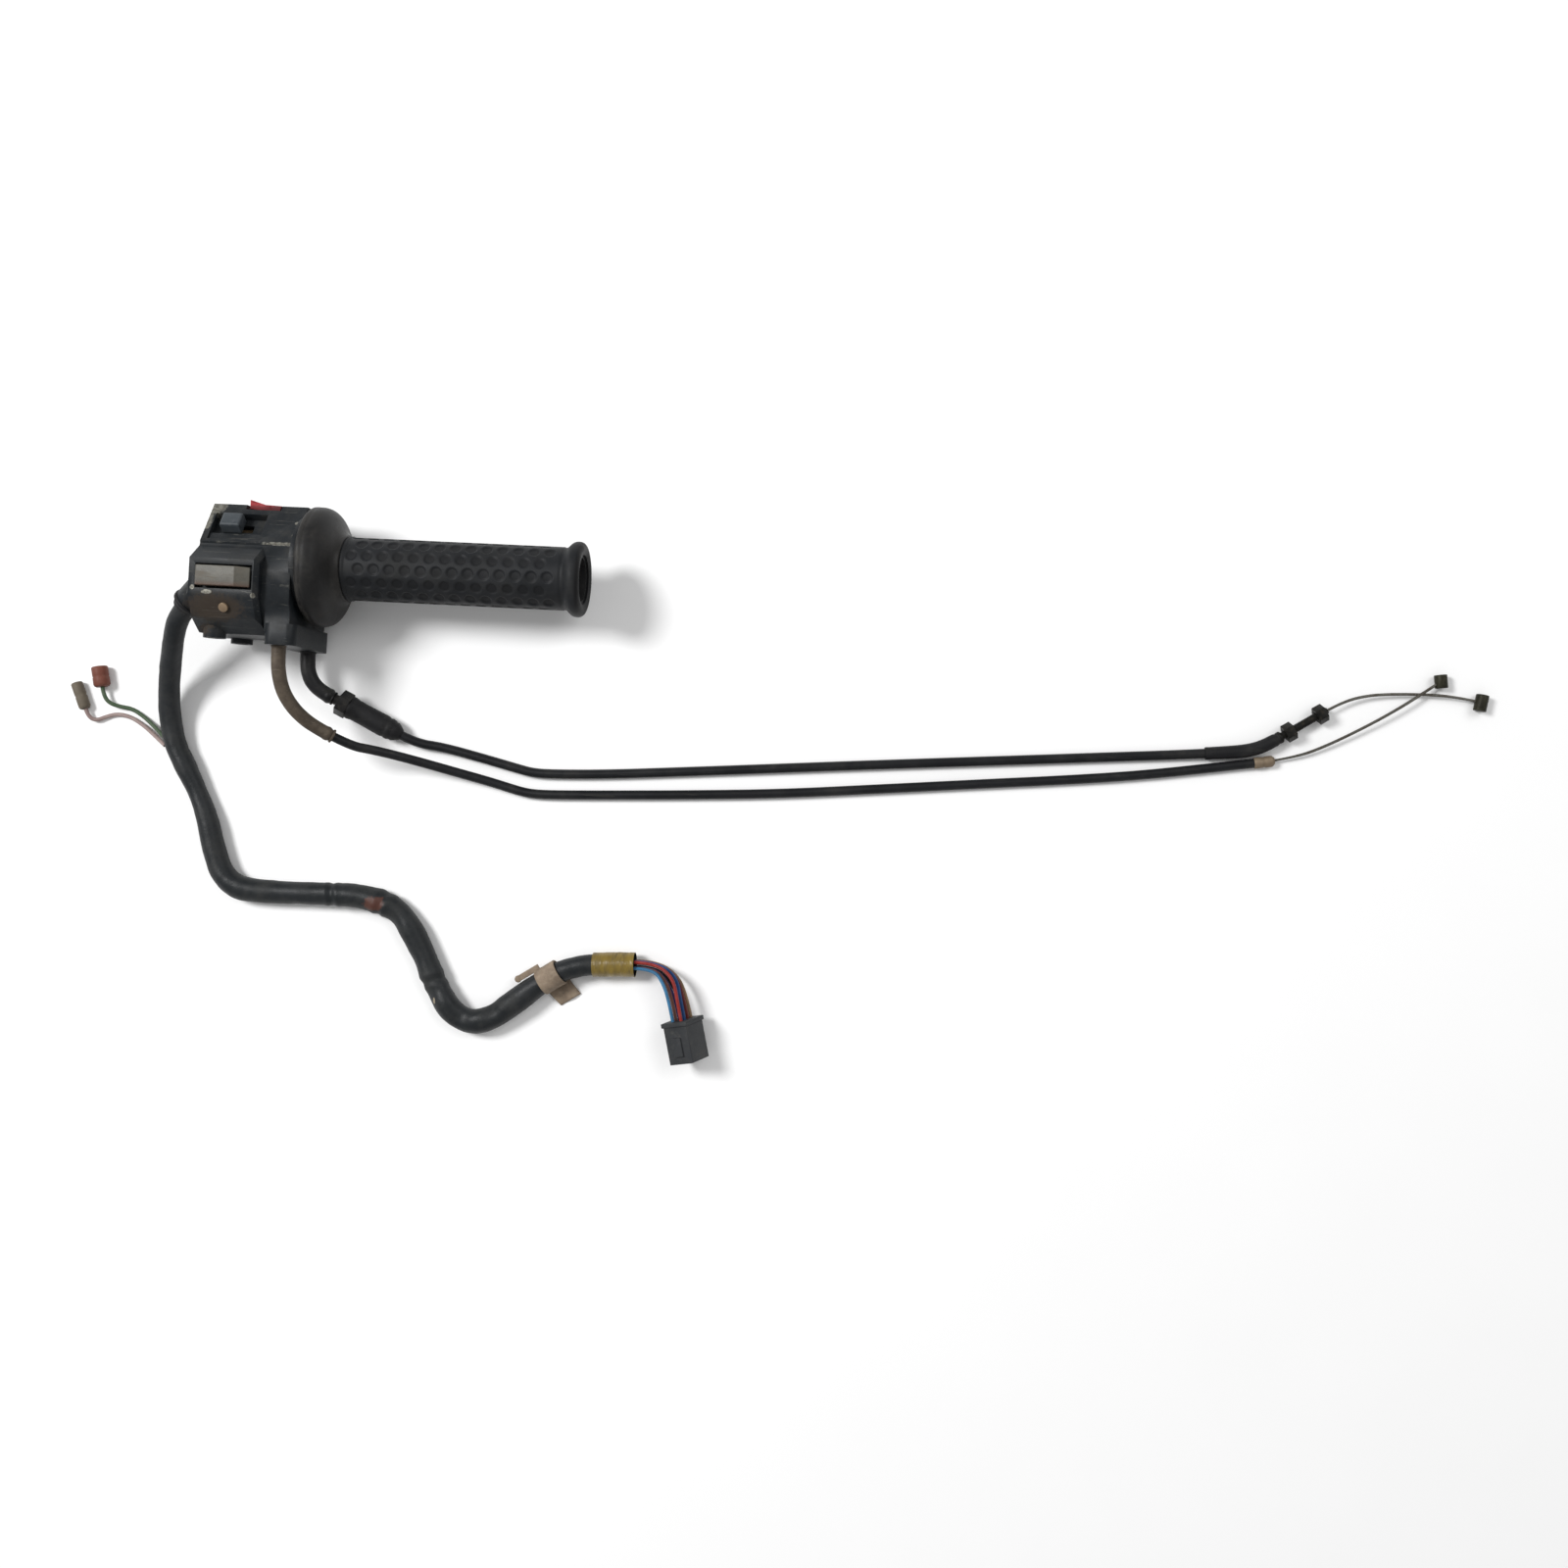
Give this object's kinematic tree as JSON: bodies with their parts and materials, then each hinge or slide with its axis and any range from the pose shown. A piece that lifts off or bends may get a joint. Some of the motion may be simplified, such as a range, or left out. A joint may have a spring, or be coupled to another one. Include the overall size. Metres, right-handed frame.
{
  "type": "throttle grip",
  "caption": "Right-hand twist throttle with rubber grip, switch housing, opening and closing cables and a wiring harness with plug.",
  "frame": {"origin": "on the handlebar's axis, at the inner end of the switch housing's clamp bore", "axes": "+X outboard along the handlebar towards the grip's end, +Y up on the machine, +Z towards the rider"},
  "size_m": [0.7502, 0.2818, 0.0655],
  "materials": {
    "black_paint": "worn satin",
    "black_rubber": "matte",
    "grip_rubber": "matte, polished by use",
    "red_plastic": "worn",
    "knob_plastic": "faded",
    "starter_plastic": "faded grey-brown",
    "zinc_steel": "dull zinc",
    "contact_plate": "plain",
    "spring_steel": "plain",
    "tube_plastic": "plain",
    "wire_steel": "stranded",
    "bare_elbow": "worn to a tan undercoat",
    "black_elbow": "satin",
    "dark_steel": "oxidised",
    "cable_cover": "smooth",
    "boot_rubber": "matte",
    "end_cap": "dull",
    "nipple_brass": "oxidised",
    "harness_cover": "dusty",
    "yellow_tape": "glossy wrap",
    "tan_strap": "plain",
    "connector_plastic": "plain",
    "terminal_brass": "plain",
    "green_cover": "wire",
    "white_cover": "wire",
    "brown_sleeve": "dusty",
    "grey_sleeve": "dusty",
    "wire_black": "wire",
    "wire_beige": "wire",
    "wire_violet": "wire",
    "wire_dark_red": "wire",
    "wire_pink": "wire",
    "wire_blue": "wire",
    "wire_light_blue": "wire",
    "wire_red": "wire"
  },
  "bodies": {
    "housing": {"upper_housing": "black_paint", "lower_housing": "black_paint", "housing_screws": "zinc_steel", "cover_screw": "end_cap", "kill_switch_pivot": "zinc_steel", "kill_switch_base": "contact_plate", "light_switch_base": "contact_plate", "starter_base": "contact_plate", "close_lead_wire": "wire_steel", "open_lead_wire": "wire_steel", "close_elbow": "bare_elbow", "open_elbow": "black_elbow", "open_adjuster_barrel": "dark_steel", "open_adjuster_locknut": "dark_steel", "open_adjuster_boot": "boot_rubber", "close_cable_outer": "cable_cover", "open_cable_outer": "cable_cover", "open_end_sleeve": "boot_rubber", "open_end_adjuster": "dark_steel", "open_end_nuts": "dark_steel", "close_end_ferrule": "end_cap", "harness_sheath": "harness_cover", "harness_grommet": "boot_rubber", "harness_tape": "yellow_tape", "harness_strap": "tan_strap", "connector_housing": "connector_plastic", "connector_terminals": "terminal_brass", "branch_wire_green": "green_cover", "branch_wire_white": "white_cover", "branch_long_sleeve": "brown_sleeve", "branch_short_sleeve": "grey_sleeve", "branch_terminals": "terminal_brass", "connector_wire_black": "wire_black", "connector_wire_beige": "wire_beige", "connector_wire_violet": "wire_violet", "connector_wire_dark_red": "wire_dark_red", "connector_wire_pink": "wire_pink", "connector_wire_blue": "wire_blue", "connector_wire_light_blue": "wire_light_blue", "connector_wire_red": "wire_red"},
    "throttle": {"throttle_tube": "tube_plastic", "grip_collar": "black_rubber", "grip_rubber": "grip_rubber", "drum_nipples": "nipple_brass", "close_drum_wire": "wire_steel", "open_drum_wire": "wire_steel"},
    "kill_switch": {"kill_switch_rocker": "red_plastic"},
    "light_switch": {"light_switch_knob": "knob_plastic"},
    "starter": {"starter_button": "starter_plastic", "starter_spring": "spring_steel"},
    "open_end": {"open_end_wire": "wire_steel", "open_end_nipple": "nipple_brass"},
    "close_end": {"close_end_wire": "wire_steel", "close_end_nipple": "nipple_brass"}
  },
  "joints": [
    {"name": "throttle_turn", "type": "hinge", "parent": "housing", "child": "throttle", "pos_m": [0.1, 0, 0], "axis": [1, 0, 0], "range_deg": [0, 75], "stiffness_Nm_per_rad": 0.3, "springref_deg": -28.65, "deforming": ["close_drum_wire", "open_drum_wire"]},
    {"name": "open_wire_pull", "type": "slide", "parent": "housing", "child": "open_end", "axis": [0.9951, 0.0992, 0], "range_m": [-0.02235, 0], "deforming": ["open_end_wire"]},
    {"name": "close_wire_pay", "type": "slide", "parent": "housing", "child": "close_end", "axis": [0.8113, 0.5846, 0], "range_m": [0, 0.02235], "deforming": ["close_end_wire"]},
    {"name": "kill_switch_rock", "type": "hinge", "parent": "housing", "child": "kill_switch", "pos_m": [0.027, 0.0255, -0.004], "axis": [0, 0, 1], "range_deg": [0, 18]},
    {"name": "light_switch_slide", "type": "slide", "parent": "housing", "child": "light_switch", "axis": [1, 0, 0], "range_m": [0, 0.01]},
    {"name": "starter_push", "type": "slide", "parent": "housing", "child": "starter", "axis": [0, 0, -1], "range_m": [0, 0.003], "stiffness_N_per_m": 600, "springref_m": -0.003, "deforming": ["starter_spring"]}
  ],
  "couplings": [
    {"joint": "open_wire_pull", "follows": "throttle_turn", "m_per_rad": -0.017},
    {"joint": "close_wire_pay", "follows": "throttle_turn", "m_per_rad": 0.017}
  ]
}
